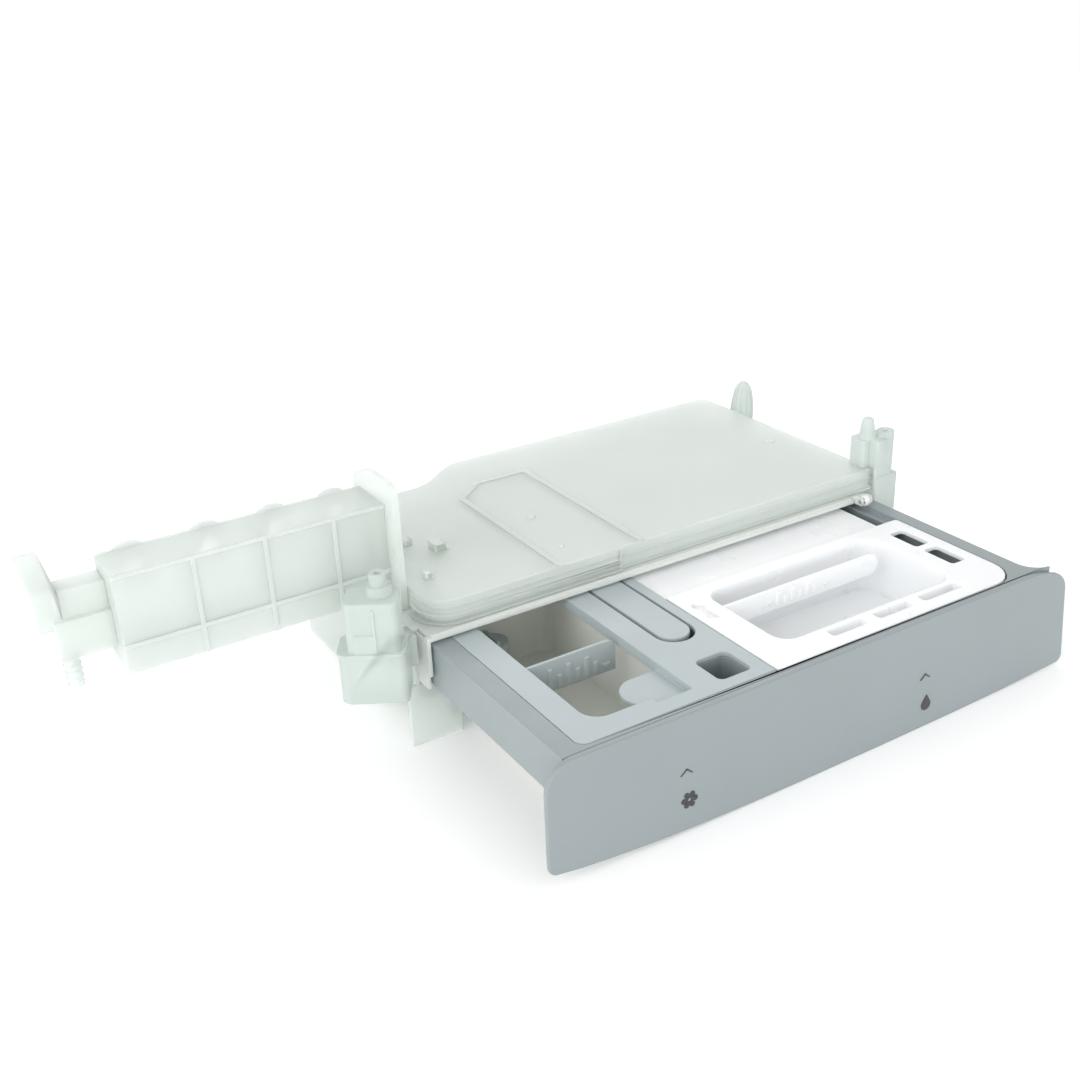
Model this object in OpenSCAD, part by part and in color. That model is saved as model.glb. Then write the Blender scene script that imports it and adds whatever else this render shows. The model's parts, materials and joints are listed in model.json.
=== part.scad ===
// Detergent dispenser of a front-loading washing machine: the pull-out drawer, the housing
// that it runs in, and the water manifold that feeds it. Millimetres, +Z up.
// Design coordinates: x = 0 is the middle of the front panel, y = 0 is the front lip of the
// housing, z = 0 is the top face of the drawer, and +y runs into the machine.
// in_frame() moves that to the row's origin, the middle of the housing's underside.

/* [Front panel] */
// Width of the front panel
panel_w = 300; // [290:1:310]
// Thickness of the front panel
panel_t = 2.6; // [2.2:0.1:3]
// How far the middle of the panel bulges forward
panel_crown = 1.4; // [0.5:0.1:2]
// Lowest point of the panel's curved lower edge, below the drawer's top
panel_drop = 58.6; // [56:0.1:58.6]
// Rounding of the panel's upper corners
panel_corner = 13; // [8:1:16]

/* [Drawer] */
// How far the drawer stands open at rest
drawer_out = 106; // [100:1:106]
// Left side of the drawer
drawer_left = -141; // [-141:0.5:-140]
// Right side of the drawer
drawer_right = 127; // [126:0.5:127]
// Back of the drawer at rest
drawer_back = 38; // [36:1:40]
// Depth of the two tanks below the drawer's top
tank_depth = 46; // [42:0.5:46]
// Depth of the side skirts
skirt_depth = 22.5; // [20:0.5:22.5]
// Wall thickness of the drawer
drawer_wall = 2; // [1.8:0.1:2.2]

/* [Softener bezel] */
// Left seam of the bezel
bezel_left = -131; // [-132:0.5:-130]
// Seam between the bezel and the liquid cup
bezel_right = -31.4; // [-32:0.1:-31.4]
// Thickness of the bezel plate
bezel_t = 2.5; // [2:0.1:2.5]

/* [Release tab] */
// Middle of the tab, across
tab_mid = -47; // [-48:0.5:-46]
// Width of the tab
tab_w = 16.4; // [15:0.2:17]
// Middle of the tab's round front end
tab_front = -50.4; // [-52:0.2:-50]
// Pivot of the tab, along the drawer
tab_pivot_y = 29; // [28:0.5:30]
// Radius of the pivot pin
tab_pin_r = 1; // [1:0.1:1.2]

/* [Liquid cup] */
// Rear edge of the cup's frame
cup_back = -25; // [-27:0.5:-24]
// Depth of the cup's well
cup_depth = 30; // [24:1:32]
// Right edge of the cup's frame
cup_right = 118; // [117:0.5:118]

/* [Housing] */
// Outer left side of the housing
tub_left = -145.5; // [-146:0.5:-145]
// Outer right side of the housing
tub_right = 131; // [131:0.5:132]
// Front of the housing's legs
tub_front = 13; // [12:0.5:14]
// Back of the housing
tub_back = 158; // [157:1:160]
// Height of the housing's underside below the drawer's top
tub_base = 58.7; // [58.7:0.1:60]
// Wall thickness of the housing
tub_wall = 2.2; // [2:0.1:2.5]
// Top of the cover above the drawer's top
cover_top = 15; // [14:0.5:16]

/* [Drain outlet] */
// Outer radius of the drain spigot
outlet_r = 16; // [15:0.5:16]
// Bore radius of the drain spigot
outlet_bore_r = 13.5; // [12:0.5:13.5]
// Length of the drain spigot behind the housing
outlet_len = 24; // [20:1:28]

/* [Water manifold] */
// Left end of the manifold
manifold_left = -264.3; // [-266:0.1:-262]
// Right end of the manifold
manifold_right = -141; // [-141:0.1:-141]
// Front of the manifold
manifold_front = 40; // [38:1:42]
// Depth of the manifold box
manifold_d = 25; // [24:1:28]
// Bottom of the manifold
manifold_low = 8; // [7:0.5:9]
// Top of the manifold
manifold_high = 54.5; // [52:0.5:56]
// Bore radius of each inlet grommet
inlet_bore_r = 5.5; // [5:0.1:6]

/* [Hidden] */

// Row origin in design coordinates
origin_y = 86;
origin_z = -tub_base;

// Colours
natural_pp = [0.88, 0.91, 0.89, 0.75];
grey_abs = [0.66, 0.69, 0.70];
grey_top = [0.74, 0.77, 0.79];
white_pp = [0.95, 0.95, 0.96];
print_grey = [0.22, 0.23, 0.24];
steel = [0.70, 0.70, 0.72];
black_rubber = [0.12, 0.12, 0.13];

// Panel
panel_back = -drawer_out;
panel_front = panel_back - panel_t;
panel_rise_left = 6.6;
panel_rise_right = 1.5;
panel_flare = 3.5;
panel_low_x = 58;
panel_crown_r = pow(panel_w / 2, 2) / (2 * panel_crown);
panel_screw_z = -14;
panel_screw_r = 1.35;
panel_screw_x = [-132, 119];

// Drawer
deck_low = -4.6;
seat = -2.6;
seam = 0.25;
tray_front = panel_back + 0.8;
tank_front = panel_back + 4;
tank_back = drawer_back - 2;
softener_x = [-121.5, -60];
detergent_x = [-31, 101];
trough_x = [tab_mid - 10.4, tab_mid + 10.4];
trough_low = -11.2;
tab_pivot_z = -3.6;
finger_hole = [-56.2, -96.6, -38.9, -78.2];
side_channel = [101.5, -78.5, 114, 31.5];
side_channel_low = -18;

// Softener bezel
bezel_front = -103.5;
open_left = -117.5;
open_right = -69.5;
open_front = -91;
tongue_left = -94;
tongue_back = -69;
tongue_z = -3.7;
siphon_pos = [-100, 22];

// Liquid cup
cup_left = bezel_right + seam;
cup_front = panel_back + 1.8;
cup_low = -2.3;
cup_high = 0.2;
well = [-14.5, -88.5, 92.5, -31.8];
well_slope = [13, -15];
well_wall = 1.6;
deck_right = 106.5;
cup_slots = [[7.3, 30], [35, 58.5], [63.4, 88.6]];
cup_siphon_pos = [-6.5, -39.4];

// Housing and cover
floor_front = -49.5;
floor_back = -53;
bay_left = tub_left + tub_wall;
bay_right = tub_right - tub_wall;
rail_top = -23;
rail_t = 3;
plate_low = 1.5;
plate_high = 3.5;
lip_right = 113;
cover_left = -137;
cover_right = 131.5;
cover_front = 7;
cover_back = 153.5;
cover_wall = 2;
outlet_x = 20;
outlet_z = -40;

// Manifold
manifold_wall = 2;
cell_walls = [-230, -198, -166];
manifold_shelf = 21;
inlet_x = [-248.6, -214, -182.5, -153];
inlet_z = 43;
socket_r = 10.5;
grommet_r = 7.5;
socket_back = manifold_front + manifold_d + 10;
spigot_pos = [-283.5, 55.5];

// Hold-down roller
roller_x = [114.7, 118.5];
roller_pos = [-3.5, 3.6];
roller_r = 3;
roller_bore_r = 1.26;
roller_axle_r = 1.2;

// ---------------------------------------------------------------- helpers

// Moves design coordinates to the row's origin
module in_frame() {
    translate([0, -origin_y, -origin_z]) children();
}

// Points of an arc about [x, y]
function arc(x, y, r, from, to, n = 6) =
    [for (i = [0:n]) let (a = from + (to - from) * i / n) [x + r * cos(a), y + r * sin(a)]];

// Rounded rectangle from [x0, y0] to [x1, y1]: radii front left, front right, back right, back left
function round_rect(x0, y0, x1, y1, r) = concat(
    arc(x0 + r[0], y0 + r[0], r[0], 180, 270),
    arc(x1 - r[1], y0 + r[1], r[1], 270, 360),
    arc(x1 - r[2], y1 - r[2], r[2], 0, 90),
    arc(x0 + r[3], y1 - r[3], r[3], 90, 180));

function same(r) = [r, r, r, r];

// Box between two opposite corners
module box(low, high) {
    translate(low) cube([for (i = [0:2]) high[i] - low[i]]);
}

// Plan outline raised between two heights
module plate(outline, low, high) {
    translate([0, 0, low]) linear_extrude(high - low) polygon(outline);
}

// Outline in y and z, carried along x
module along_x(x0, x1, outline) {
    translate([x0, 0, 0]) rotate([90, 0, 90]) linear_extrude(x1 - x0) polygon(outline);
}

// Outline in x and z, carried along y
module along_y(y0, y1, outline) {
    translate([0, y1, 0]) rotate([90, 0, 0]) linear_extrude(y1 - y0) polygon(outline);
}

// Round bar along y, from y0 to y1
module bar_y(x, z, r, y0, y1) {
    translate([x, y0, z]) rotate([-90, 0, 0]) cylinder(r = r, h = y1 - y0, $fn = 64);
}

// Round bar along x, from x0 to x1
module bar_x(y, z, r, x0, x1) {
    translate([x0, y, z]) rotate([0, 90, 0]) cylinder(r = r, h = x1 - x0, $fn = 64);
}

// Round bar along z, from z0 to z1
module bar_z(x, y, r, z0, z1) {
    translate([x, y, z0]) cylinder(r = r, h = z1 - z0, $fn = 64);
}

// Ring along z
module ring_z(x, y, outer, inner, z0, z1) {
    difference() {
        bar_z(x, y, outer, z0, z1);
        bar_z(x, y, inner, z0 - 1, z1 + 1);
    }
}

// Small triangle that marks a fill level, pointing down, standing out of a face towards -y
module level_triangle(x, y, z, size, proud) {
    along_y(y - proud, y, [[x - size, z], [x, z - 1.4 * size], [x + size, z]]);
}

// ---------------------------------------------------------------- housing

// Height of the floor's upper face at a place along the housing
function floor_at(y) = floor_front
    + (floor_back - floor_front) * (y - tub_front - 2) / (tub_back - tub_front - 3);

// Lower shell with its legs, sloping floor and the hole for the drain
module housing_tub() {
    left_leg = 22.5;
    right_leg = 16.5;
    pad = [24, 16];
    rib_y = [45, 122];
    floor_t = 2.2;
    notch_right = -126.5;
    notch = [[tub_front + 4, -36.5], [62, origin_z]];
    color(natural_pp) in_frame() difference() {
        union() {
            difference() {
                plate(round_rect(tub_left, tub_front + 2, tub_right, tub_back, [1, 1, 12, 12]),
                    origin_z, plate_low);
                plate(round_rect(bay_left, tub_front + 1, bay_right, tub_back - tub_wall,
                    [0.5, 0.5, 10, 10]), origin_z - 1, plate_low + 1);
            }
            along_x(bay_left - 0.5, bay_right + 0.5, [
                [tub_front + 2, floor_front - floor_t], [tub_front + 2, floor_front],
                [tub_back - 1, floor_back], [tub_back - 1, floor_back - floor_t]]);
            // legs at the two front corners
            for (leg = [[tub_left, tub_left + left_leg], [tub_right - right_leg, tub_right]]) {
                box([leg[0], tub_front, origin_z], [leg[1], tub_front + 4, rail_top - rail_t]);
            }
            box([tub_left - 4, tub_front, origin_z], [tub_left + 1, tub_front + 2, rail_top - rail_t]);
            box([tub_left, tub_front, rail_top - rail_t - 1], [bay_left, tub_front + 4, plate_low]);
            box([bay_right, tub_front, rail_top - rail_t - 1], [tub_right, tub_front + 4, plate_low]);
            // ribs and the middle pad under the floor
            for (y = rib_y) {
                box([bay_left - 0.5, y, origin_z], [bay_right + 0.5, y + 2, floor_at(y) - 1]);
            }
            box([-pad[0], origin_y - pad[1], origin_z],
                [pad[0], origin_y + pad[1], floor_at(origin_y + pad[1]) - 0.3]);
            // boss behind the drain opening
            bar_y(outlet_x, outlet_z, outlet_r + 2.5, tub_back - 1, tub_back + 1.5);
        }
        bar_y(outlet_x, outlet_z, outlet_bore_r, tub_back - 10, tub_back + 10);
        // gutter in the floor that leads to the drain
        box([outlet_x - 9, tub_back - 30, floor_back + 0.2], [outlet_x + 9, tub_back - tub_wall, -45]);
        // recess under the left front corner, behind the leg
        along_x(tub_left - 5, notch_right, [notch[0], notch[1], [notch[1][0], origin_z - 1],
            [notch[0][0], origin_z - 1]]);
    }
    // slope and inner wall that close the recess
    color(natural_pp) in_frame() {
        along_x(tub_left, notch_right + 2, [notch[0], notch[1], [notch[1][0] + 4, origin_z],
            [notch[0][0], notch[0][1] + 2.2]]);
        along_x(notch_right, notch_right + 2, [[notch[0][0], origin_z], notch[1],
            [notch[1][0] + 3, origin_z + 1], [notch[0][0], notch[0][1] + 2]]);
    }
}

// Ledges that carry the drawer's skirts
module guide_rail(x0, x1, web_x) {
    box([x0, tub_front + 4.2, rail_top - rail_t], [x1, tub_back - 14, rail_top]);
    for (y = [30:30:130]) {
        along_y(y, y + 2, [[web_x[0], rail_top - rail_t], [web_x[1], rail_top - rail_t],
            [web_x[0], rail_top - rail_t - 12]]);
    }
}

module left_guide_rail() {
    color(natural_pp) in_frame() guide_rail(bay_left, -127, [bay_left, -130]);
}

module right_guide_rail() {
    color(natural_pp) in_frame() guide_rail(114.5, bay_right, [bay_right, 117]);
}

// Ceiling over the drawer, with the front lip and the spray holes
module spray_plate() {
    hook_left = tub_left + 1.6;
    color(natural_pp) in_frame() difference() {
        union() {
            plate(round_rect(-142, 0, lip_right, 20, same(1)), plate_low, plate_high);
            plate(round_rect(-142, 8, tub_right, 40, [1, 2, 1, 1]), plate_low, plate_high);
            plate(round_rect(tub_left, tub_front, tub_right, tub_back, [1, 1, 12, 12]),
                plate_low, plate_high);
            // raised bead along the lip
            along_x(-141, lip_right - 1, [[0.6, plate_high - 0.5], [3, plate_high - 0.5],
                [2.4, plate_high + 0.8], [1.2, plate_high + 0.8]]);
            // hook that guides the drawer's left side
            box([hook_left, 0, -16], [hook_left + 1.7, 3.5, plate_high]);
            box([hook_left, 0, plate_low], [-141, 3.5, plate_high]);
            // side wall from the hook back to the leg
            box([hook_left, 3, rail_top - 1], [hook_left + 1.7, tub_front, plate_low + 0.5]);
        }
        for (x = [-112:12:-76], y = [45:14:101]) {
            bar_z(x, y, 1.3, plate_low - 1, plate_high + 1);
        }
        for (x = [-10:22:100], y = [45:14:101]) {
            bar_z(x, y, 1.3, plate_low - 1, plate_high + 1);
        }
    }
}

// Upright walls inside the cover that share the water between the compartments
module water_channels() {
    high = cover_top - cover_wall;
    wall = 1.6;
    color(natural_pp) in_frame() {
        box([-66, 12, plate_high], [-66 + wall, 106, high]);
        box([-66 + wall, 106 - wall, plate_high], [-24, 106, high]);
        box([-24, 12, plate_high], [-24 + wall, 120, high]);
        box([-24 + wall, 120 - wall, plate_high], [104, 120, high]);
        box([20, 30, plate_high], [20 + wall, 104, high]);
        box([62, 30, plate_high], [62 + wall, 104, high]);
        box([-126, 112, plate_high], [-70, 112 + wall, high]);
    }
}

// Plan outline of the cover, grown by an even margin at the front and the sides
function cover_outline(grow) = concat(
    arc(cover_left + 14, cover_front + 14, 14 + grow, 180, 270, 10),
    arc(cover_right - 3, cover_front + 3, 3 + grow, 270, 360),
    arc(cover_right - 6, cover_back - 6, 6 + grow, 0, 90),
    [[-45, cover_back + grow]],
    [for (i = [0:8]) let (t = i / 8) [-45 - 37 * t, cover_back + grow - 19.5 * (1 - cos(180 * t)) / 2]],
    arc(cover_left + 5, cover_back - 24.5, 5 + grow, 90, 180));

// Hollow lid over the spray plate, with stepped beads at its front
module top_cover() {
    color(natural_pp) in_frame() difference() {
        union() {
            plate(cover_outline(0), plate_high, cover_top);
            intersection() {
                union() {
                    plate(cover_outline(3.2), plate_high, plate_high + 1.4);
                    plate(cover_outline(1.8), 7.2, 8.5);
                    plate(cover_outline(0.8), 11, 12);
                }
                box([-150, 0, 0], [-35, 26, cover_top]);
            }
            intersection() {
                union() {
                    plate(cover_outline(1.6), plate_high, plate_high + 1.6);
                    plate(cover_outline(0.7), 9.4, 10.6);
                }
                box([-34, 0, 0], [140, 26, cover_top]);
            }
            box([-36, cover_front - 1.4, plate_high], [-34, cover_front + 1, cover_top]);
            // moulded bosses on the lid
            bar_z(-51, 63, 2, cover_top - 0.5, cover_top + 2);
            bar_z(-57.3, 24.6, 1.4, cover_top - 0.5, cover_top + 1.4);
            bar_z(114.5, 71, 2.4, cover_top - 0.5, cover_top + 1.6);
            bar_z(-117, 80, 2.6, cover_top - 0.5, cover_top + 2.2);
        }
        plate(cover_outline(-cover_wall), plate_high - 1, cover_top - cover_wall);
        // passage from the manifold
        box([cover_left - 5, manifold_front + 2, 9.6], [cover_left + 5, manifold_front + 23, 12.4]);
    }
}

// Low frame on the lid, over the water channels
module cover_ribs() {
    left = -70;
    right = -20;
    back = 120;
    w = 3.2;
    outline = [[left, cover_front + 0.6], [right, cover_front + 0.6], [right, back], [left + 17, back],
        [left, back - 14]];
    inside = [[left + w, cover_front - 1], [right - w, cover_front - 1], [right - w, back - w],
        [left + 17 + w / 2, back - w], [left + w, back - 14 - w / 2]];
    color(natural_pp) in_frame() difference() {
        plate(outline, cover_top, cover_top + 0.5);
        plate(inside, cover_top - 1, cover_top + 1);
    }
}

// Rib under the lip that the release tab's nose meets when the drawer is fully open
module drawer_stop_rib() {
    color(natural_pp) in_frame() box([tab_mid - 7, 1, 0.6], [tab_mid + 7, 4, plate_low]);
}

module rear_bumpers() {
    color(black_rubber) in_frame() for (x = [-95, 75]) {
        bar_y(x, -15, 6, tub_back - tub_wall - 15.4, tub_back - tub_wall);
    }
}

// Spigot for the hose to the washing tub
module drain_outlet() {
    root = tub_back + 1.5;
    color(natural_pp) in_frame() difference() {
        union() {
            bar_y(outlet_x, outlet_z, outlet_r + 2.5, root, root + 3);
            bar_y(outlet_x, outlet_z, outlet_r, root, root + outlet_len - 1);
            translate([outlet_x, root + outlet_len - 1, outlet_z]) rotate([-90, 0, 0])
                cylinder(r1 = outlet_r, r2 = outlet_r - 0.8, h = 1, $fn = 64);
        }
        bar_y(outlet_x, outlet_z, outlet_bore_r, root - 1, root + outlet_len + 1);
    }
}

// Rounded post at the housing's left front corner, turned towards the front left
module left_mount_tower() {
    screw_r = 1.6;
    boss = [-161, 8];
    turn = -32;
    color(natural_pp) in_frame() difference() {
        union() {
            intersection() {
                translate([-167, 9, 0]) rotate([0, 0, turn]) {
                    plate(round_rect(-14, -9.5, 16, 9.5, [5, 3, 2, 4]), -20, 4);
                    plate(round_rect(-9.5, -8.5, 14, 8.5, [4, 3, 2, 4]), 4, 29);
                    plate(round_rect(-14.5, -10.2, 16, 10, [5, 3, 2, 4]), 3.2, 5);
                    box([-6, -9.2, 5], [4, -8, 14]);
                    box([2.6, -9.2, 5], [4, -8, 26]);
                }
                box([-200, -30, -30], [tub_left, 60, 60]);
            }
            box([tub_left - 11, 7.5, -12], [tub_left, 18, 3]);
            translate([boss[0], boss[1], 28]) cylinder(r1 = 6.1, r2 = 5.5, h = 5.5, $fn = 64);
            bar_z(boss[0], boss[1], 3.9, 33, 39);
        }
        bar_z(boss[0], boss[1], screw_r, 24, 50);
    }
}

// Post at the housing's right front corner with a tapered pin and a screw boss
module right_mount_tower() {
    screw_r = 1.6;
    screw_pos = [141, 8.6];
    high = 31;
    color(natural_pp) in_frame() difference() {
        union() {
            plate(round_rect(tub_right, 3, 147.8, 20, [1, 3, 3, 1]), -30, 10);
            plate(round_rect(tub_right, 4, 145.3, 20, [1, 4, 4, 1]), 9, high);
            plate(round_rect(126, 9.5, 134, 20, same(2)), cover_top + 0.3, high);
            translate([131.9, 13, high - 0.5]) rotate_extrude($fn = 48)
                polygon(concat([[0, 0], [4.6, 0], [3.2, 9.6]], arc(1.2, 10, 1.9, 0, 90), [[0, 11.9]]));
            bar_z(screw_pos[0], screw_pos[1], 4.6, high - 1, 34.5);
        }
        bar_z(screw_pos[0], screw_pos[1], screw_r, 22, 40);
        // the cover and its beads pass behind the post
        plate(cover_outline(2.2), plate_high - 0.1, cover_top + 0.3);
    }
}

// Fluted locating pin on the housing's right side, leaning slightly outwards
module rear_locating_pin() {
    pos = [140.8, 128];
    base = 4;
    lean = 2.5;
    core = [[0, -0.5], [6.3, -0.5], [6.3, 10], [5.6, 16], [4.8, 20.4], [3.9, 23.9], [2.2, 25.9], [0, 26.3]];
    half_fin = [[7, -0.5], [7, 10], [6.3, 16], [5.4, 20.4], [4.3, 23.5]];
    fin = concat(half_fin, [for (i = [4:-1:0]) [-half_fin[i][0], half_fin[i][1]]]);
    color(natural_pp) in_frame() {
        box([tub_right, pos[1] - 8, -8], [pos[0] + 8, pos[1] + 8, -4]);
        along_y(pos[1] - 1.2, pos[1] + 1.2, [[tub_right, -24], [tub_right, -8], [pos[0], -8]]);
        bar_z(pos[0], pos[1], 7.4, -4.5, base);
        translate([pos[0], pos[1], base]) rotate([0, lean, 0]) {
            rotate_extrude($fn = 48) polygon(core);
            for (a = [0:30:150]) {
                rotate([0, 0, a]) along_y(-0.8, 0.8, fin);
            }
        }
    }
}

// ---------------------------------------------------------------- water manifold

// Upright plate that joins the manifold to the housing
module manifold_flange() {
    x0 = manifold_right;
    x1 = cover_left - 0.4;
    outline = concat([[31, plate_high]], arc(37, 60, 6, 180, 90), [[54, 66], [64.4, 63.2],
        [70.5, 60.3], [73.4, 56.5], [74, 52], [74, plate_high]]);
    relief = concat([[34, 18]], arc(38, 59, 4, 180, 90), [[53.5, 63], [63, 60.4], [68.5, 57.8],
        [70.6, 55], [71, 52], [71, 18]]);
    color(natural_pp) in_frame() difference() {
        along_x(x0, x1, outline);
        box([x0 - 1, manifold_front + 2, 9.6], [x1 + 1, manifold_front + 23, 12.4]);
        along_x(x1 - 0.9, x1 + 1, relief);
    }
}

// Box of the manifold, open at the back
module manifold_body() {
    w = manifold_wall;
    back = manifold_front + manifold_d;
    color(natural_pp) in_frame() difference() {
        box([manifold_left, manifold_front, manifold_low], [manifold_right, back, manifold_high]);
        box([manifold_left + w, manifold_front + w, manifold_low + w],
            [manifold_right - w, back + 1, manifold_high - w]);
        // passage to the cover
        box([manifold_right - 5, manifold_front + 2, 10.2], [manifold_right + 1, manifold_front + 23, 12.4]);
        // window to the overflow duct
        box([manifold_left - 1, 54, 26], [manifold_left + 3, 61, 33]);
    }
}

// Shelf and three walls that make four chambers; each drains over the shelf's back edge
module manifold_dividers() {
    w = manifold_wall;
    back = manifold_front + manifold_d;
    color(natural_pp) in_frame() {
        box([manifold_left + w, manifold_front + w, manifold_shelf],
            [manifold_right - w, back - 6, manifold_shelf + 1.6]);
        for (x = cell_walls) {
            box([x - 0.8, manifold_front + w, manifold_shelf], [x + 0.8, back, manifold_high - w]);
        }
    }
}

// Ribs on the manifold's front, in line with the chambers
module manifold_ribs() {
    proud = 0.7;
    color(natural_pp) in_frame() {
        for (x = cell_walls) {
            box([x - 1, manifold_front - proud, manifold_low], [x + 1, manifold_front, manifold_high]);
        }
        box([manifold_left, manifold_front - proud, manifold_shelf - 0.8],
            [manifold_right, manifold_front, manifold_shelf + 1.2]);
        box([manifold_left, manifold_front - proud, manifold_high - 1.6],
            [manifold_right, manifold_front, manifold_high]);
    }
}

// Back of the manifold with the four sockets for the inlet valves
module manifold_back_cover() {
    back = manifold_front + manifold_d;
    plate_t = 2.2;
    color(natural_pp) in_frame() difference() {
        union() {
            box([manifold_left, back, manifold_low], [manifold_right, back + plate_t, manifold_high]);
            for (x = inlet_x) {
                bar_y(x, inlet_z, socket_r, back, socket_back);
                along_x(x - 0.8, x + 0.8, [[back + 1, 20], [back + 1, inlet_z - 6],
                    [back + 7, inlet_z - 6]]);
            }
        }
        for (x = inlet_x) {
            bar_y(x, inlet_z, inlet_bore_r, back - 1, back + plate_t + 1);
            bar_y(x, inlet_z, grommet_r, back + plate_t, socket_back + 1);
        }
    }
}

module inlet_grommets() {
    front = manifold_front + manifold_d + 2.2;
    color(black_rubber) in_frame() for (x = inlet_x) {
        difference() {
            bar_y(x, inlet_z, grommet_r, front, socket_back);
            bar_y(x, inlet_z, inlet_bore_r, front - 1, socket_back + 1);
        }
    }
}

// Duct on the manifold's left end: a short box and an arm that runs back
module overflow_duct() {
    back = manifold_front + manifold_d;
    arm = concat([[53, 31], [52, 43]], arc(57, 45.5, 5, 180, 100), [[86, 53.5]],
        arc(86, 48.5, 5, 85, 0), [[91, 40]], arc(84, 40, 7, 0, -70), [[62, 31]]);
    color(natural_pp) in_frame() difference() {
        union() {
            box([-288, 50, 17.5], [manifold_left, back, 35.5]);
            box([-286, 53, 35], [manifold_left, back, 48.2]);
            along_x(-294.2, -284, arm);
        }
        box([-286, 52, 19.5], [manifold_left + 1, back - 2, 33.5]);
        box([-284, 55, 30], [manifold_left + 1, back - 2, 46.2]);
        along_x(-292.2, -286, [[57, 34.5], [57, 47.5], [92, 47.5], [92, 41]]);
        bar_z(spigot_pos[0], spigot_pos[1], 2.2, 15, 21);
    }
}

// Ribbed hose spigot under the duct
module overflow_spigot() {
    low = 2.2;
    root_r = 3.3;
    color(natural_pp) in_frame() difference() {
        union() {
            bar_z(spigot_pos[0], spigot_pos[1], root_r, low, 17.5);
            bar_z(spigot_pos[0], spigot_pos[1], root_r + 0.9, 16, 17.5);
            for (i = [0:3]) {
                translate([spigot_pos[0], spigot_pos[1], low + 0.6 + 3 * i])
                    cylinder(r1 = root_r, r2 = root_r + 0.7, h = 1.6, $fn = 48);
            }
        }
        bar_z(spigot_pos[0], spigot_pos[1], 2.2, 0, 20);
    }
}

// ---------------------------------------------------------------- hold-down roller

// Foot beside the lip's end, with two cheeks that hold the roller's axle in front of it
module roller_bracket() {
    cheek_t = 1.3;
    gap = 0.4;
    left = roller_x[0] - gap - cheek_t;
    right = roller_x[1] + gap;
    cheek = [[-4.6, plate_low], [8, plate_low], [8, plate_high], [5, plate_high], [1, 5.4], [-1.6, 6.1],
        [-4.4, 6.1], [-5.6, 5], [-5.6, 2.4]];
    color(natural_pp) in_frame() difference() {
        union() {
            along_x(left, left + cheek_t, cheek);
            along_x(right, right + cheek_t, cheek);
            box([left, 0, plate_low], [right + cheek_t, 8, plate_high]);
        }
        bar_x(roller_pos[0], roller_pos[1], roller_axle_r + 0.02, left - 1, right + cheek_t + 1);
    }
}

module roller_axle() {
    color(steel) in_frame()
        bar_x(roller_pos[0], roller_pos[1], roller_axle_r, roller_x[0] - 1.7, roller_x[1] + 1.9);
}

module hold_down_roller() {
    color(white_pp) in_frame() difference() {
        union() {
            bar_x(roller_pos[0], roller_pos[1], roller_r, roller_x[0] + 0.6, roller_x[1] - 0.6);
            bar_x(roller_pos[0], roller_pos[1], roller_r - 0.6, roller_x[0], roller_x[1]);
        }
        bar_x(roller_pos[0], roller_pos[1], roller_bore_r, roller_x[0] - 1, roller_x[1] + 1);
        for (a = [0:60:300]) {
            bar_x(roller_pos[0] + 1.9 * cos(a), roller_pos[1] + 1.9 * sin(a), 0.3,
                roller_x[0] - 1, roller_x[0] + 0.8);
        }
    }
}

// Clips on the lid for the hoses that cross it: place on the lid and size
module hose_clips() {
    post = 0.9;
    high = 3.4;
    color(natural_pp) in_frame() {
        for (clip = [[-106.5, 59, 7.5], [-125.3, 33, 4.5], [-117.5, 72, 5]]) {
            half = clip[2] / 2;
            translate([clip[0], clip[1], cover_top]) {
                box([-half, -half, 0], [half, half, 0.7]);
                box([-half, -half, 0.7], [-half + post, half, high]);
                box([half - post, -half, 0.7], [half, half, high]);
                box([-half, -half, high], [half - 2, half, high + 0.8]);
            }
        }
    }
}

// ---------------------------------------------------------------- drawer

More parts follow.
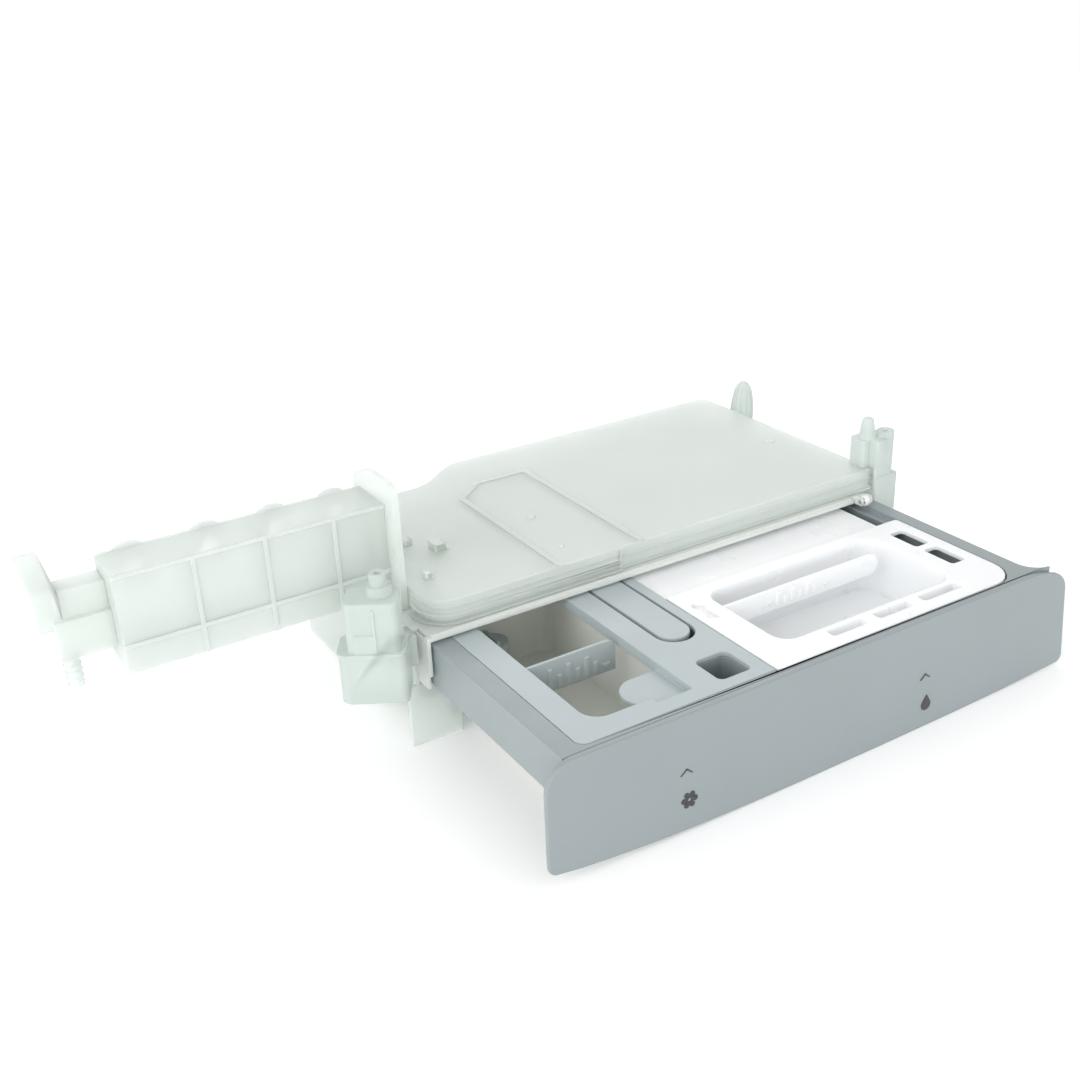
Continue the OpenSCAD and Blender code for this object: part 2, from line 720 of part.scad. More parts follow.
// Drawer body: rim, skirts, two tanks, the tab's trough and the finger hole
module drawer_tray() {
    w = drawer_wall;
    flare = 11;
    color(grey_abs) in_frame() difference() {
        union() {
            box([drawer_left, panel_back, deck_low], [drawer_right, drawer_back, 0]);
            box([drawer_left, panel_back, -skirt_depth], [drawer_left + 2.2, drawer_back, 0]);
            box([drawer_right - 2.2, panel_back, -skirt_depth], [drawer_right, drawer_back, 0]);
            box([drawer_left, panel_back, -tank_depth], [drawer_right, panel_back + 1.8, 0]);
            for (tank = [softener_x, detergent_x]) {
                box([tank[0], panel_back, -tank_depth], [tank[1], tank_back, deck_low + 1]);
            }
            box([softener_x[1] - 1, -66, -13], [detergent_x[0] + 1, tank_back, seat]);
            box([softener_x[1] - 1, -99, -24], [detergent_x[0] + 1, -76, seat]);
            box([side_channel[0] - 2, side_channel[1] - 2, side_channel_low - 2],
                [side_channel[2] + 2, side_channel[3] + 2, seat]);
            // flare from the right skirt to the back of the panel
            difference() {
                box([drawer_right - 1, panel_back, -skirt_depth],
                    [drawer_right + flare, panel_back + flare, 0]);
                translate([drawer_right + flare, panel_back + flare, -skirt_depth - 1])
                    cylinder(r = flare, h = skirt_depth + 2, $fn = 96);
            }
        }
        // seats of the bezel and of the cup
        plate(round_rect(bezel_left, bezel_front, bezel_right, drawer_back + 1, [5, 0.1, 0.1, 0.1]),
            seat, 1);
        plate(round_rect(bezel_right - 1, tray_front, cup_right + 0.9, drawer_back + 1,
            [0.1, 16, 0.1, 0.1]), seat, 1);
        // tanks
        plate(round_rect(softener_x[0] + w, tank_front, softener_x[1] - w, tank_back - w, same(6)),
            -tank_depth + w, 1);
        plate(round_rect(detergent_x[0] + w, tank_front, detergent_x[1] - w, tank_back - w, same(6)),
            -tank_depth + w, 1);
        // trough of the release tab
        box([trough_x[0], -64, trough_low], [trough_x[1], tank_back - w, 1]);
        bar_x(tab_pivot_y, tab_pivot_z, tab_pin_r + 0.02, trough_x[0] - 2, trough_x[1] + 2);
        // finger hole
        plate(round_rect(finger_hole[0], finger_hole[1], finger_hole[2], finger_hole[3], same(3)), -22, 1);
        // channel under the cup's right side, open beside the liner's deck
        box([side_channel[0], side_channel[1], side_channel_low], [side_channel[2], side_channel[3], 1]);
        // drain of the detergent tank at the back, and the softener's siphon pipe
        box([detergent_x[0] + 12, tank_back - w - 1, -36], [detergent_x[1] - 12, tank_back + 1, -22]);
        bar_z(siphon_pos[0], siphon_pos[1], 2.6, -tank_depth - 1, 0);
        for (x = panel_screw_x) {
            bar_y(x, panel_screw_z, panel_screw_r + 0.15, panel_back - 1, panel_back + 3);
        }
    }
    // siphon pipe that stands in the softener tank
    color(grey_abs) in_frame()
        ring_z(siphon_pos[0], siphon_pos[1], 4.2, 2.6, -tank_depth + w - 0.5, -26);
}

// Height of the panel's lower edge at a place across it
function panel_edge(x) = -panel_drop + (x < panel_low_x
    ? panel_rise_left * pow((panel_low_x - x) / (panel_low_x + panel_w / 2), 4)
    : panel_rise_right * pow((x - panel_low_x) / (panel_w / 2 - panel_low_x), 2));

// Depth of the panel's bulged face at a place across it
function panel_face(x) = panel_front - panel_crown + panel_crown_r - sqrt(pow(panel_crown_r, 2) - x * x);

// Plan outline between the bulged face and a line behind it, or an even film in front of the face
function panel_plan(film) = let (xs = [for (i = [0:26]) panel_w * (i / 24 - 0.5)])
    concat([for (x = xs) [x, panel_face(x) - film]], film > 0
        ? [for (i = [26:-1:0]) [xs[i], panel_face(xs[i])]]
        : [[xs[26], panel_back], [xs[0], panel_back]]);

// Front panel: top edge that falls at its right end, bowed lower edge and a gently bulged face
module front_panel() {
    half = panel_w / 2;
    low_r = 4;
    low_right = half + panel_flare;
    outline = concat(
        arc(half - panel_corner - 1, -3.4 - panel_corner, panel_corner, 0, 78, 10),
        [[133, -1.6], [126, -0.5], [118, 0]],
        arc(-half + panel_corner, -panel_corner, panel_corner, 90, 180, 10),
        arc(-half + low_r, panel_edge(-half) + low_r, low_r, 180, 265),
        [for (i = [1:23]) let (x = -half + low_r + (panel_w - 2 * low_r) * i / 24) [x, panel_edge(x)]],
        arc(low_right - low_r, panel_edge(half) + low_r, low_r, 275, 360));
    color(grey_abs) in_frame() difference() {
        intersection() {
            along_y(panel_front - panel_crown, panel_back, outline);
            plate(panel_plan(0), -tub_base, 1);
        }
        for (x = panel_screw_x) {
            bar_y(x, panel_screw_z, panel_screw_r + 0.1, panel_back - 1.7, panel_back + 1);
        }
    }
}

// Prism through the panel with a given outline
module mark(outline) {
    along_y(panel_front - 2 * panel_crown, panel_front + panel_crown, outline);
}

// Printed marks on the panel: an arrow over a flower for softener, and over a drop for detergent
module panel_marks() {
    ink = 0.25;
    flower = [-82, -42];
    drop = [55.5, -45.5];
    color(print_grey) in_frame() intersection() {
        plate(panel_plan(ink), -tub_base, 1);
        union() {
            for (tip = [[-83.6, -25.8], [53.3, -28.7]]) {
                mark([[tip[0] - 3.2, tip[1] - 2.9], tip, [tip[0] + 3.2, tip[1] - 2.9],
                    [tip[0] + 2.5, tip[1] - 2.9], [tip[0], tip[1] - 0.8], [tip[0] - 2.5, tip[1] - 2.9]]);
            }
            for (a = [0:60:300]) {
                mark(arc(flower[0] + 2.9 * cos(a), flower[1] + 2.9 * sin(a), 1.3, 0, 345, 23));
            }
            difference() {
                mark(arc(flower[0], flower[1], 1.9, 0, 345, 23));
                mark(arc(flower[0], flower[1], 0.9, 0, 345, 23));
            }
            mark(concat([[drop[0], drop[1] + 4.6]], arc(drop[0], drop[1] - 0.8, 2.9, 150, 390, 16)));
        }
    }
}

module panel_screws() {
    color(steel) in_frame() for (x = panel_screw_x) {
        difference() {
            union() {
                bar_y(x, panel_screw_z, 2.9, panel_back + 1.8, panel_back + 3.6);
                bar_y(x, panel_screw_z, panel_screw_r, panel_back - 1.5, panel_back + 2);
            }
            for (a = [0, 90]) {
                translate([x, panel_back + 3.6, panel_screw_z]) rotate([0, a, 0])
                    cube([3.6, 2, 0.7], center = true);
            }
        }
    }
}

// ---------------------------------------------------------------- softener side

// Snap-in frame over the softener tank, with a sunk thumb tongue
module softener_bezel() {
    right = bezel_right - seam;
    ramp_front = -95;
    hole_r = tab_w / 2 + 1.7;
    hole_y = tab_front - 1.2;
    tongue_r = (tongue_back - open_front) / 2;
    tongue = concat([[open_right + 1, tongue_back]],
        arc(tongue_left + tongue_r, open_front + tongue_r, tongue_r, 90, 270, 16),
        [[open_right + 1, open_front]]);
    color(grey_top) in_frame() difference() {
        union() {
            plate(round_rect(bezel_left + seam, bezel_front + seam, right, drawer_back - 0.5,
                [5, 0.3, 0.3, 0.3]), -bezel_t, 0);
            // wall beside the opening, and the tongue with its ramp
            box([open_right, open_front - 4, -5.6], [open_right + 2, tank_back - 4, -1]);
            plate(tongue, -5.6, tongue_z);
            along_x(tongue_left + 6, open_right + 2, [[open_front - 8, -0.5], [open_front - 8, -2.5],
                [open_front - 1, -5.6], [open_front + 1, -5.6], [open_front + 1, tongue_z]]);
        }
        difference() {
            plate(round_rect(open_left, open_front, open_right, 24, [9, 0.3, 3, 3]), -bezel_t - 0.1, 1);
            // the tongue itself stays
            plate(tongue, -6, tongue_z);
        }
        // slope down to the tongue
        along_x(tongue_left + 6.5, open_right, [[ramp_front, 0], [ramp_front, 1], [open_front + 1, 1],
            [open_front + 1, tongue_z], [open_front, tongue_z]]);
        // pill-shaped hole of the release tab and the finger hole
        plate(concat(arc(tab_mid, hole_y, hole_r, 180, 360, 20), [[tab_mid + hole_r, drawer_back + 1],
            [tab_mid - hole_r, drawer_back + 1]]), -3, 1);
        plate(round_rect(finger_hole[0], finger_hole[1], finger_hole[2], finger_hole[3], same(3)), -3, 1);
    }
}

// Plate across the softener opening that shows the highest fill
module softener_level_plate() {
    y = -41;
    high = -0.6;
    low = -16.5;
    end = -71;
    tank_side = softener_x[0] + drawer_wall;
    under = -bezel_t - 0.1;
    color(grey_top) in_frame() {
        along_y(y, y + 1.6, concat([[open_left + 0.1, high], [open_left + 0.1, under], [tank_side, under],
            [tank_side, low], [end, low]], arc(end - 5, high - 5, 5, 0, 90)));
        level_triangle(end - 5.5, y, -11.5, 2.2, 0.8);
        for (i = [0:5]) {
            box([-107 + 4.8 * i, y - 0.8, -15], [-104.8 + 4.8 * i, y, i % 2 == 0 ? -5 : -9]);
        }
    }
}

// Cap that makes the softener's pipe a siphon
module softener_siphon_cap() {
    color(grey_top) in_frame() difference() {
        union() {
            bar_z(siphon_pos[0], siphon_pos[1], 8, -tank_depth + drawer_wall, -22);
            box([siphon_pos[0] - 0.8, siphon_pos[1] - 7, -22.5],
                [siphon_pos[0] + 0.8, siphon_pos[1] + 7, -19]);
        }
        bar_z(siphon_pos[0], siphon_pos[1], 6.6, -tank_depth, -23.6);
        for (a = [0, 60, 120]) {
            translate([siphon_pos[0], siphon_pos[1], -tank_depth + drawer_wall]) rotate([0, 0, a])
                cube([20, 3.2, 6], center = true);
        }
    }
}

// Lever that the user presses to let the drawer come right out
module release_tab() {
    half = tab_w / 2;
    low = -3.2;
    high = 0.2;
    color(grey_top) in_frame() difference() {
        union() {
            difference() {
                plate(concat(arc(tab_mid, tab_front, half, 180, 360, 20),
                    [[tab_mid + half, tab_pivot_y - 4], [tab_mid - half, tab_pivot_y - 4]]), low, high);
                plate(concat(arc(tab_mid, tab_front, half - 1.6, 180, 360, 20),
                    [[tab_mid + half - 1.6, 12], [tab_mid - half + 1.6, 12]]), low - 1, low + 1.4);
            }
            box([tab_mid - half, tab_pivot_y - 5, tab_pivot_z - 1],
                [tab_mid + half, tab_pivot_y, high - 1.2]);
            bar_x(tab_pivot_y, tab_pivot_z, 2.8, tab_mid - half, tab_mid + half);
            // nose that meets the stop rib
            along_x(tab_mid - 6, tab_mid + 6, [[17.5, high - 0.5], [17.5, 1.2], [18.3, 1.2],
                [23, high - 0.5]]);
        }
        bar_x(tab_pivot_y, tab_pivot_z, tab_pin_r + 0.06, tab_mid - half - 1, tab_mid + half + 1);
    }
}

module tab_pivot_pin() {
    color(steel) in_frame() bar_x(tab_pivot_y, tab_pivot_z, tab_pin_r, trough_x[0] - 1.8, trough_x[1] + 1.8);
}

// Leaf spring under the tab
module tab_spring() {
    low = trough_low;
    t = 0.5;
    color(steel) in_frame() along_x(tab_mid - 3, tab_mid + 3, [[-40, low], [-20, low], [2, -3.4 - t],
        [8, -3.4 - t], [8, -3.4], [1.7, -3.4], [-20.2, low + t], [-40, low + t]]);
}

// ---------------------------------------------------------------- detergent side

// White basin in the detergent tank, with the deck behind the cup
module detergent_liner() {
    gap = 0.3;
    wall = 1.6;
    x0 = detergent_x[0] + drawer_wall + gap;
    x1 = detergent_x[1] - drawer_wall - gap;
    y0 = tank_front + gap;
    y1 = tank_back - drawer_wall - gap;
    deck_front = cup_back + 0.7;
    color(white_pp) in_frame() difference() {
        union() {
            difference() {
                plate(round_rect(x0, y0, x1, y1, same(5.7)), -tank_depth + drawer_wall, seat);
                plate(round_rect(x0 + wall, y0 + wall, x1 - wall, y1 - wall, same(4.2)),
                    -tank_depth + drawer_wall + wall, 1);
            }
            plate(round_rect(bezel_right + seam, deck_front, deck_right, drawer_back - 0.5, same(0.6)),
                seat, -1.2);
            // rib that stiffens the deck
            box([x0 + 1, deck_front + 4, -9], [x1 - 1, deck_front + 5.4, seat]);
        }
        for (x = [-14:19:90], y = [12, 26]) {
            bar_z(x, y, 3, -6, 1);
        }
        // outlet at the back, in line with the tank's
        box([x0 + 12, y1 - wall - 1, -35], [x1 - 12, y1 + 1, -23]);
    }
}

// Well of the cup: plan outline cut by a profile with a sloping front
module cup_well(grow, low, top) {
    front = well[1] - grow;
    intersection() {
        plate(round_rect(well[0] - grow, front, well[2] + grow, well[3] + grow, same(9 + grow)), low, top);
        along_x(well[0] - 5, well[2] + 5, [[front, top + 1], [front, 0],
            [front + well_slope[0], well_slope[1]], [front + well_slope[0] + 2, low],
            [well[3] + grow, low], [well[3] + grow, top + 1]]);
    }
}

// Lift-out cup for liquid detergent
module liquid_cup() {
    pocket_floor = -4.5;
    thumb_x = [-27, -20];
    color(white_pp) in_frame() difference() {
        union() {
            plate(round_rect(cup_left, cup_front, cup_right, cup_back, [2, 15, 2, 2]), cup_low, cup_high);
            cup_well(well_wall, -cup_depth, cup_low + 0.5);
            for (slot = cup_slots) {
                plate(round_rect(slot[0] - 1.4, -98.4, slot[1] + 1.4, -89.6, same(2.6)),
                    pocket_floor - 1.4, cup_low + 0.5);
            }
        }
        cup_well(0, -cup_depth + well_wall, cup_high + 1);
        // shallow pockets along the front, the last one with a hole in its floor
        for (slot = cup_slots) {
            plate(round_rect(slot[0], -97, slot[1], -91, same(1.8)), pocket_floor, 1);
        }
        plate(round_rect(cup_slots[2][1] - 6, -96, cup_slots[2][1] - 1.5, -92.5, same(1)), -8, 0);
        // finger slots on the right
        plate(round_rect(102, -54.5, 111.3, -35.8, same(2)), -6, 1);
        plate(round_rect(102, -78, 111.3, -59, same(2)), -6, 1);
        // shallow thumb pocket in the shape of an eight
        bar_z((thumb_x[0] + thumb_x[1]) / 2, -50.5, 3.5, -1.5, 1);
        bar_z((thumb_x[0] + thumb_x[1]) / 2, -40, 3.5, -1.5, 1);
        box([thumb_x[0] + 0.8, -50.5, -1.5], [thumb_x[1] - 0.8, -40, 1]);
        // siphon outlet
        bar_z(cup_siphon_pos[0], cup_siphon_pos[1], 1.8, -cup_depth - 1, 0);
    }
    color(white_pp) in_frame()
        ring_z(cup_siphon_pos[0], cup_siphon_pos[1], 3, 1.8, -cup_depth + well_wall - 0.5, -18);
}

// Row of printed dashes on the cup's sloping front
module cup_print() {
    ink = 0.2;
    run = norm(well_slope);
    along = well_slope / run;
    out = [-along[1], along[0]];
    top = [well[1], 0] + 2.4 * along;
    low = top + 2.8 * along;
    color(print_grey) in_frame() for (x = [-2:7.5:40]) {
        along_x(x, x + 5.6, [top, low, low + ink * out, top + ink * out]);
    }
}

// Plate across the cup that shows the highest fill
module cup_level_plate() {
    y = -47;
    high = -0.4;
    low = -12;
    end = 84;
    color(white_pp) in_frame() {
        along_y(y, y + 1.6, concat([[well[0], high], [well[0], low]],
            arc(end - 5, low + 5, 5, 270, 360), arc(end - 6, high - 6, 6, 0, 90)));
        for (x = [13.8, 48.8]) {
            level_triangle(x, y, -6.6, 1.7, 0.5);
        }
        for (i = [0:5]) {
            box([17.5 + 4.6 * i, y - 0.8, -9.6], [19.7 + 4.6 * i, y, i % 2 == 0 ? -3.2 : -6]);
        }
    }
}

module cup_siphon_cap() {
    low = -cup_depth + well_wall + 0.2;
    color(white_pp) in_frame() difference() {
        union() {
            bar_z(cup_siphon_pos[0], cup_siphon_pos[1], 5.4, low, -14);
            box([cup_siphon_pos[0] - 4, cup_siphon_pos[1] - 0.7, -14.5],
                [cup_siphon_pos[0] + 4, cup_siphon_pos[1] + 0.7, -12]);
        }
        bar_z(cup_siphon_pos[0], cup_siphon_pos[1], 4.3, low - 1, -15.4);
        for (a = [0, 90]) {
            translate([cup_siphon_pos[0], cup_siphon_pos[1], low]) rotate([0, 0, a])
                cube([14, 2.4, 4], center = true);
        }
    }
}

housing_tub();
left_guide_rail();
right_guide_rail();
spray_plate();
water_channels();
top_cover();
cover_ribs();
drawer_stop_rib();
rear_bumpers();
drain_outlet();
left_mount_tower();
right_mount_tower();
rear_locating_pin();
manifold_flange();
manifold_body();
manifold_dividers();
manifold_ribs();
manifold_back_cover();
inlet_grommets();
overflow_duct();
overflow_spigot();
roller_bracket();
roller_axle();
hold_down_roller();
hose_clips();
drawer_tray();
front_panel();
panel_marks();
panel_screws();
softener_bezel();
softener_level_plate();
softener_siphon_cap();
release_tab();
tab_pivot_pin();
tab_spring();
detergent_liner();
liquid_cup();
cup_print();
cup_level_plate();
cup_siphon_cap();
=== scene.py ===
import json
import math
import bmesh
import bpy
from mathutils import Matrix, Vector


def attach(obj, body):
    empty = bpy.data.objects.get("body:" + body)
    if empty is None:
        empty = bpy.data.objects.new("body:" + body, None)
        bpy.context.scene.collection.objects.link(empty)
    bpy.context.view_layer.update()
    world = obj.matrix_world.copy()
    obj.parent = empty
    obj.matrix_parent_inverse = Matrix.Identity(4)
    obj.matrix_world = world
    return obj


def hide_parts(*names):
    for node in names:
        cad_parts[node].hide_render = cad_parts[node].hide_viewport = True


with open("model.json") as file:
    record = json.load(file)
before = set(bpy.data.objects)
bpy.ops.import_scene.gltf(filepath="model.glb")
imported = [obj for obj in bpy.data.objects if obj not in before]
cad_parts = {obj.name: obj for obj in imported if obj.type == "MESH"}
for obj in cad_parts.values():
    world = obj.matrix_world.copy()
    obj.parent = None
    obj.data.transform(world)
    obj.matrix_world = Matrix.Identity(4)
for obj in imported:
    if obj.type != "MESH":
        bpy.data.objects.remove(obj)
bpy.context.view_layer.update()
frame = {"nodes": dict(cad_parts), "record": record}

BODY_OF = {node: body for body, members in frame["record"]["behaviour"]["bodies"].items()
           for node in members}
SLOT_OF = {row["node"]: row["material_slot"] for row in frame["record"]["subparts"]}
MM = 0.001


# ---------------------------------------------------------------- materials

# a noise's usable part, between its seldom reached ends
NOISE_LOW, NOISE_HIGH = 0.3, 0.7
# noise scales, in waves per metre: colour drift, sink waves and patches of roughness
DRIFT, SINK, SMEAR = 14, 22, 60
# sockets of a Mix node that are in use when it mixes colours
MIX_COLOUR_A, MIX_COLOUR_B, MIX_COLOUR_OUT = 6, 7, 2


class Nodes:
    """Small helper that builds a material's node tree."""

    def __init__(self, name):
        self.material = bpy.data.materials.new(name)
        self.material.use_nodes = True
        self.tree = self.material.node_tree
        self.shader = self.tree.nodes["Principled BSDF"]
        self.place = self.add("ShaderNodeTexCoord").outputs["Object"]

    def add(self, kind, **values):
        """A node with its named inputs, or else its named properties, set."""
        node = self.tree.nodes.new(kind)
        for key, value in values.items():
            if key in node.inputs:
                node.inputs[key].default_value = value
            else:
                setattr(node, key, value)
        return node

    def link(self, source, target):
        self.tree.links.new(source, target)

    def noise(self, scale, detail):
        node = self.add("ShaderNodeTexNoise", Scale=scale, Detail=detail, Roughness=0.55)
        self.link(self.place, node.inputs["Vector"])
        return node.outputs["Fac"]

    def ramp(self, source, low, high):
        """Colour that runs from low to high with the noise."""
        node = self.add("ShaderNodeValToRGB")
        stops = zip(node.color_ramp.elements, (NOISE_LOW, NOISE_HIGH), (low, high))
        for element, position, colour in stops:
            element.position = position
            element.color = (*colour, 1)
        self.link(source, node.inputs["Fac"])
        return node.outputs["Color"]

    def spread(self, source, low, high):
        """Value that runs from low to high with the noise."""
        node = self.add("ShaderNodeMapRange")
        node.inputs["From Min"].default_value = NOISE_LOW
        node.inputs["From Max"].default_value = NOISE_HIGH
        node.inputs["To Min"].default_value = low
        node.inputs["To Max"].default_value = high
        self.link(source, node.inputs["Value"])
        return node.outputs["Result"]

    def inside(self, tone, middle, half, colour):
        """Another colour within a box."""
        parts = self.add("ShaderNodeSeparateXYZ")
        self.link(self.place, parts.inputs["Vector"])
        share = None
        for axis, centre, reach in zip("XYZ", middle, half):
            near = self.add("ShaderNodeMath", operation="COMPARE")
            self.link(parts.outputs[axis], near.inputs[0])
            near.inputs[1].default_value = centre
            near.inputs[2].default_value = reach
            if share is None:
                share = near.outputs["Value"]
            else:
                both = self.add("ShaderNodeMath", operation="MULTIPLY")
                self.link(share, both.inputs[0])
                self.link(near.outputs["Value"], both.inputs[1])
                share = both.outputs["Value"]
        mix = self.add("ShaderNodeMix", data_type="RGBA")
        self.link(share, mix.inputs["Factor"])
        self.link(tone, mix.inputs[MIX_COLOUR_A])
        mix.inputs[MIX_COLOUR_B].default_value = (*colour, 1)
        return mix.outputs[MIX_COLOUR_OUT]

    def bump(self, height, distance, below=None):
        node = self.add("ShaderNodeBump", Strength=1.0, Distance=distance)
        self.link(height, node.inputs["Height"])
        if below is not None:
            self.link(below, node.inputs["Normal"])
        return node.outputs["Normal"]


def moulded(name, colour, vary, rough, grain, grain_height, wave=0.0, sheen_box=None, **shader):
    """Moulded plastic: slight colour drift, a fine spark-eroded grain and long, shallow sink waves.
    A box, given as middle and half size, may give the faces inside it another colour, which is a
    painted sheen."""
    n = Nodes(name)
    low = tuple(c * (1 - vary) for c in colour)
    high = tuple(min(1, c * (1 + vary)) for c in colour)
    tone = n.ramp(n.noise(DRIFT, 2.0), low, high)
    # painted sheen: another colour for the faces inside the box
    if sheen_box:
        tone = n.inside(tone, *sheen_box)
    n.link(tone, n.shader.inputs["Base Color"])
    n.link(n.spread(n.noise(SMEAR, 4.0), *rough), n.shader.inputs["Roughness"])
    normal = n.bump(n.noise(grain, 2.0), grain_height)
    if wave:
        normal = n.bump(n.noise(SINK, 1.0), wave, normal)
    n.link(normal, n.shader.inputs["Normal"])
    for key, value in shader.items():
        n.shader.inputs[key.replace("_", " ")].default_value = value
    return n.material


# light that goes equally far into the plastic in red, green and blue
EVEN_DEPTH = (1.0, 1.0, 1.0)


def polypropylene(name, colour, alpha):
    """Natural polypropylene, more or less milky."""
    return moulded(name, colour, 0.02, (0.34, 0.46), 1500, 0.00001, 0.0001, Alpha=alpha, IOR=1.25,
                   Transmission_Weight=0.30, Subsurface_Weight=0.35, Subsurface_Scale=0.006,
                   Subsurface_Radius=EVEN_DEPTH)


GREY = (0.275, 0.314, 0.323)
MATERIALS = {
    "natural_polypropylene": polypropylene("natural polypropylene", (0.84, 0.90, 0.86), 0.70),
    "grey_abs": moulded(
        "grey abs", GREY, 0.02, (0.34, 0.44), 2600, 0.00001, 0.00006, IOR=1.5),
    "light_grey_abs": moulded(
        "light grey abs", (0.42, 0.475, 0.487), 0.02, (0.36, 0.46), 2600, 0.00001, 0.00005,
        IOR=1.5),
    "white_polypropylene": moulded(
        "white polypropylene", (0.90, 0.915, 0.925), 0.01, (0.25, 0.36), 1800, 0.000006, 0.00006,
        IOR=1.49, Subsurface_Weight=0.3, Subsurface_Scale=0.004, Subsurface_Radius=EVEN_DEPTH),
    "white_acetal": moulded(
        "white acetal", (0.80, 0.815, 0.82), 0.01, (0.30, 0.40), 2000, 0.000006),
    "steel": moulded(
        "plated steel", (0.62, 0.62, 0.63), 0.05, (0.25, 0.40), 900, 0.00001, Metallic=1.0),
    "rubber": moulded(
        "rubber", (0.20, 0.21, 0.215), 0.10, (0.5, 0.7), 1200, 0.00004),
    "print": moulded(
        "printed ink", (0.045, 0.045, 0.05), 0.08, (0.4, 0.55), 2500, 0.000005),
}

# pieces with their own copy of the plastic, made lighter or darker as painted light and shade; the
# thick towers and pin are also less see-through
# painted shade: a darker copy for the thick towers and pin, which are also less see-through than
# the thin walls
THICK_SHADED = polypropylene("thick natural polypropylene with painted shade", (0.66, 0.725, 0.695), 0.80)
# painted light: a lighter, less see-through copy for the lip and the roller bracket, whose front
# faces lie in shade
PAINTED_LIT = polypropylene("natural polypropylene with painted light", (0.93, 0.97, 0.935), 0.90)
# painted highlight: a lighter, opaque copy for the ribs, as if their edges catch the light
RIBS_HIGHLIGHT = polypropylene("natural polypropylene ribs with painted highlight", (0.88, 0.94, 0.905), 1.0)
# box that holds the softener tank's inside, as middle and half size, and the lighter colour in it,
# a painted sheen
TANK_SHEEN = ((-0.0908, -0.119, 0.030), (0.0300, 0.0695, 0.0255), (0.78, 0.795, 0.745))
# pieces that take a copy of their plastic with painted light, shade or sheen
PAINTED_LIGHT_LOOK = {
    "left_mount_tower": THICK_SHADED, "right_mount_tower": THICK_SHADED, "rear_locating_pin": THICK_SHADED,
    "spray_plate": PAINTED_LIT, "roller_bracket": PAINTED_LIT,
    "manifold_ribs": RIBS_HIGHLIGHT, "cover_ribs": RIBS_HIGHLIGHT,
    "drawer_tray": moulded("grey abs of the tray with painted sheen", GREY, 0.02, (0.30, 0.42), 2600, 0.00001, 0.00006,
                           sheen_box=TANK_SHEEN, IOR=1.5),
}


# ---------------------------------------------------------------- pieces

# width of the rounded edges in millimetres, where it isn't the usual one
USUAL_EDGE = 0.4
EDGE_WIDTH = {
    "panel_marks": 0, "cup_print": 0,
    "tab_spring": 0.1,
    "rear_locating_pin": 0.15, "softener_siphon_cap": 0.15, "left_mount_tower": 0.15,
    "right_mount_tower": 0.15, "roller_bracket": 0.15, "drawer_stop_rib": 0.15,
    "tab_pivot_pin": 0.15,
    "roller_axle": 0.2, "panel_screws": 0.2, "cover_ribs": 0.2, "manifold_ribs": 0.2,
    "hose_clips": 0.25, "hold_down_roller": 0.25,
    "spray_plate": 0.3, "manifold_dividers": 0.3,
    "top_cover": 0.5,
    "front_panel": 0.6,
}
# corners closer than this are one corner, and faces that bend less than this are one face
SAME_PLACE = 0.002 * MM
SAME_PLANE = math.radians(0.6)
# an edge that bends more than the first is rounded, and one that still bends more than the
# second is shaded as a crease
SHARP = math.radians(28)
CREASE = math.radians(50)


def extent(mesh):
    """Opposite corners of a mesh's box."""
    places = [vert.co for vert in mesh.vertices]
    return tuple([pick(co[axis] for co in places) for axis in range(3)] for pick in (min, max))


def softened(node):
    """A copy of a CAD node's mesh with rounded edges and even normals, in place of the node."""
    width = EDGE_WIDTH.get(node, USUAL_EDGE) * MM
    bm = bmesh.new()
    bm.from_mesh(frame["nodes"][node].data)
    bmesh.ops.remove_doubles(bm, verts=bm.verts, dist=SAME_PLACE)
    bmesh.ops.dissolve_limit(bm, angle_limit=SAME_PLANE, verts=bm.verts, edges=bm.edges,
                             delimit=set())
    if width:
        edges = [e for e in bm.edges if e.is_manifold and e.calc_face_angle(0) > SHARP]
        bmesh.ops.bevel(bm, geom=edges, offset=width, offset_type="OFFSET", segments=2,
                        profile=0.5, affect="EDGES", clamp_overlap=False, miter_outer="SHARP",
                        miter_inner="SHARP")
    low, high = extent(frame["nodes"][node].data)
    for vert in bm.verts:
        vert.co = [min(max(c, a), b) for c, a, b in zip(vert.co, low, high)]
    for face in bm.faces:
        face.smooth = True
    for edge in bm.edges:
        edge.smooth = not edge.is_manifold or edge.calc_face_angle(0) < CREASE
    mesh = bpy.data.meshes.new(node)
    bm.to_mesh(mesh)
    bm.free()
    piece = bpy.data.objects.new(f"{node}.look", mesh)
    bpy.context.scene.collection.objects.link(piece)
    modifier = piece.modifiers.new("normals", "WEIGHTED_NORMAL")
    modifier.keep_sharp = True
    modifier.weight = 60
    bpy.context.view_layer.objects.active = piece
    with bpy.context.temp_override(object=piece, active_object=piece, selected_objects=[piece]):
        bpy.ops.object.modifier_apply(modifier="normals")
    slot = SLOT_OF[node]
    mesh.materials.append(PAINTED_LIGHT_LOOK.get(node, MATERIALS[slot]))
    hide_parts(node)
    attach(piece, BODY_OF[node])


for name in sorted(frame["nodes"]):
    softened(name)


# ---------------------------------------------------------------- studio

WHITE = (1, 1, 1, 1)
FLOOR_HALF = 40
FLOOR_LOW, FLOOR_HIGH = (0.955, 0.955, 0.955), (0.965, 0.965, 0.965)
# a little light of the floor's own thins the contact shadows
FLOOR_GLOW = 0.15
# strength of the sky at the horizon and overhead
SKY_LOW, SKY_HIGH = 1.22, 0.72
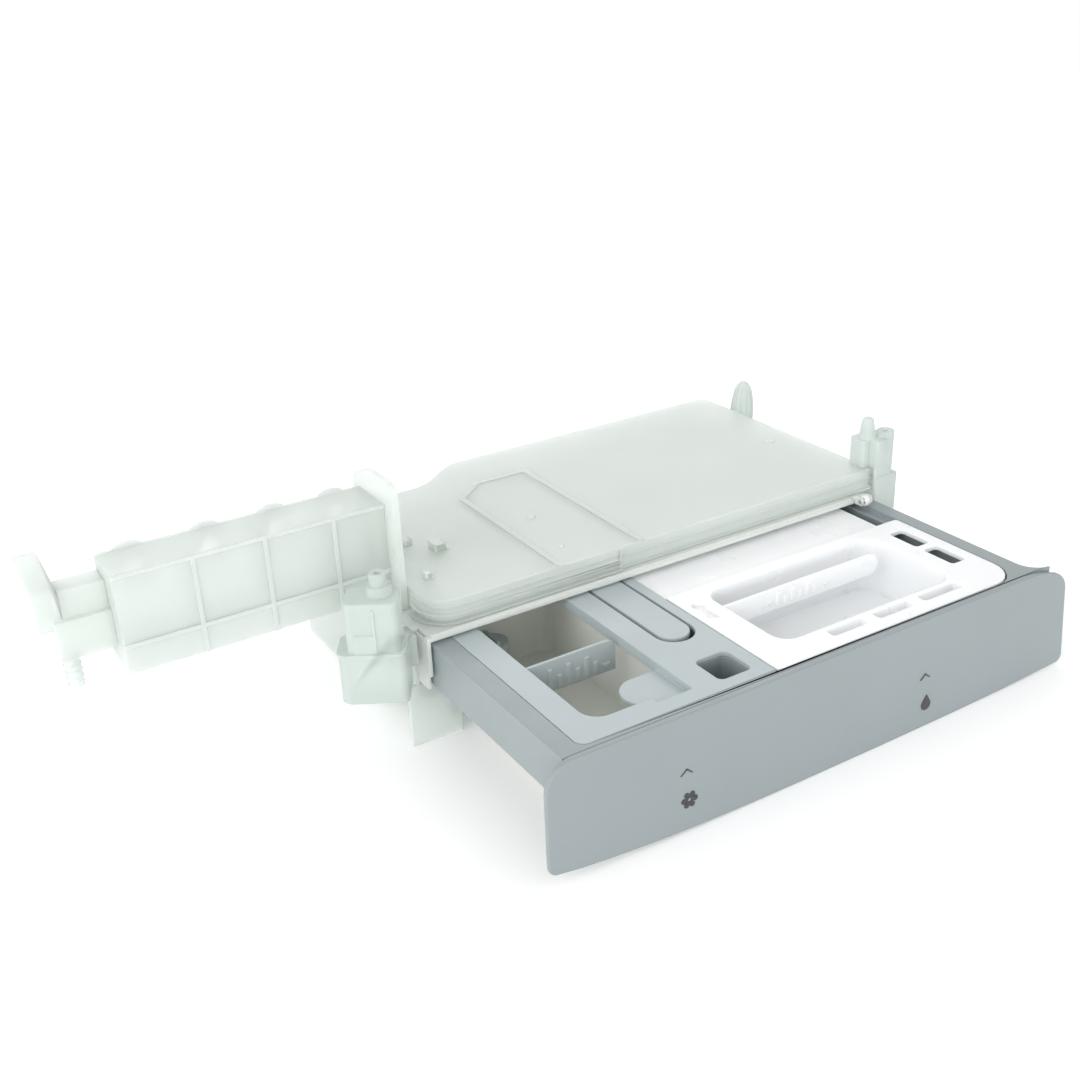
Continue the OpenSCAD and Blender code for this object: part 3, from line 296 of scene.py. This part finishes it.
# name, place, target, size and power
LIGHTS = [
    ("key", (-1.7, -0.5, 0.9), (0, 0, 0.05), (1.2, 1.0), 12),
    ("rim", (0.6, 1.5, 1.0), (0, 0, 0), (1.6, 0.8), 6),
    ("fill", (-0.5, -1.8, 0.35), (0, 0, 0.05), (2.2, 0.6), 7),
]
# the photograph's viewpoint: 30.6 degrees left of the front and 25.4 degrees above it
AZIMUTH, ELEVATION, ROLL = (math.radians(a) for a in (-30.603, 25.371, -2.519))
CAMERA_PLACE = (-0.3535, -0.5423, 0.3457)
LENS, SENSOR_WIDTH = 43.07, 36
NEAREST = 0.01


def backdrop():
    """Pale floor, far larger than the view."""
    mesh = bpy.data.meshes.new("floor")
    corners = [(-1, -1), (1, -1), (1, 1), (-1, 1)]
    mesh.from_pydata([(x * FLOOR_HALF, y * FLOOR_HALF, 0) for x, y in corners], [], [(0, 1, 2, 3)])
    floor = bpy.data.objects.new("floor", mesh)
    bpy.context.scene.collection.objects.link(floor)
    n = Nodes("pale floor")
    n.link(n.ramp(n.noise(3, 2.0), FLOOR_LOW, FLOOR_HIGH), n.shader.inputs["Base Color"])
    n.shader.inputs["Emission Color"].default_value = WHITE
    n.shader.inputs["Emission Strength"].default_value = FLOOR_GLOW
    n.shader.inputs["Roughness"].default_value = 0.9
    n.shader.inputs["Specular IOR Level"].default_value = 0.0
    mesh.materials.append(n.material)


def area_light(name, place, target, size, power):
    """Rectangular light at a place, turned towards its target."""
    data = bpy.data.lights.new(name, "AREA")
    data.shape = "RECTANGLE"
    data.size, data.size_y = size
    data.energy = power
    light = bpy.data.objects.new(name, data)
    light.location = place
    light.rotation_euler = (Vector(target) - Vector(place)).to_track_quat("-Z", "Y").to_euler()
    bpy.context.scene.collection.objects.link(light)


def studio():
    """White sky, brighter at the horizon, with three soft lights."""
    world = bpy.data.worlds.new("studio")
    bpy.context.scene.world = world
    world.use_nodes = True
    tree = world.node_tree
    background = tree.nodes["Background"]
    place = tree.nodes.new("ShaderNodeTexCoord")
    parts = tree.nodes.new("ShaderNodeSeparateXYZ")
    fade = tree.nodes.new("ShaderNodeMapRange")
    fade.inputs["To Min"].default_value = SKY_LOW
    fade.inputs["To Max"].default_value = SKY_HIGH
    tree.links.new(place.outputs["Generated"], parts.inputs["Vector"])
    tree.links.new(parts.outputs["Z"], fade.inputs["Value"])
    tree.links.new(fade.outputs["Result"], background.inputs["Strength"])
    background.inputs["Color"].default_value = WHITE
    for light in LIGHTS:
        area_light(*light)
    bpy.context.scene.view_settings.view_transform = "Standard"


def camera():
    """Camera at the photograph's viewpoint."""
    back = Vector((math.sin(AZIMUTH) * math.cos(ELEVATION),
                   -math.cos(AZIMUTH) * math.cos(ELEVATION), math.sin(ELEVATION)))
    right = (-back).cross(Vector((0, 0, 1))).normalized()
    up = right.cross(-back)
    turned_right = right * math.cos(ROLL) + up * math.sin(ROLL)
    turned_up = up * math.cos(ROLL) - right * math.sin(ROLL)
    data = bpy.data.cameras.new("camera")
    data.lens = LENS
    data.sensor_width = SENSOR_WIDTH
    data.clip_start = NEAREST
    eye = bpy.data.objects.new("camera", data)
    axes = Matrix((turned_right, turned_up, back)).transposed().to_4x4()
    eye.matrix_world = Matrix.Translation(CAMERA_PLACE) @ axes
    bpy.context.scene.collection.objects.link(eye)
    bpy.context.scene.camera = eye


backdrop()
studio()
camera()
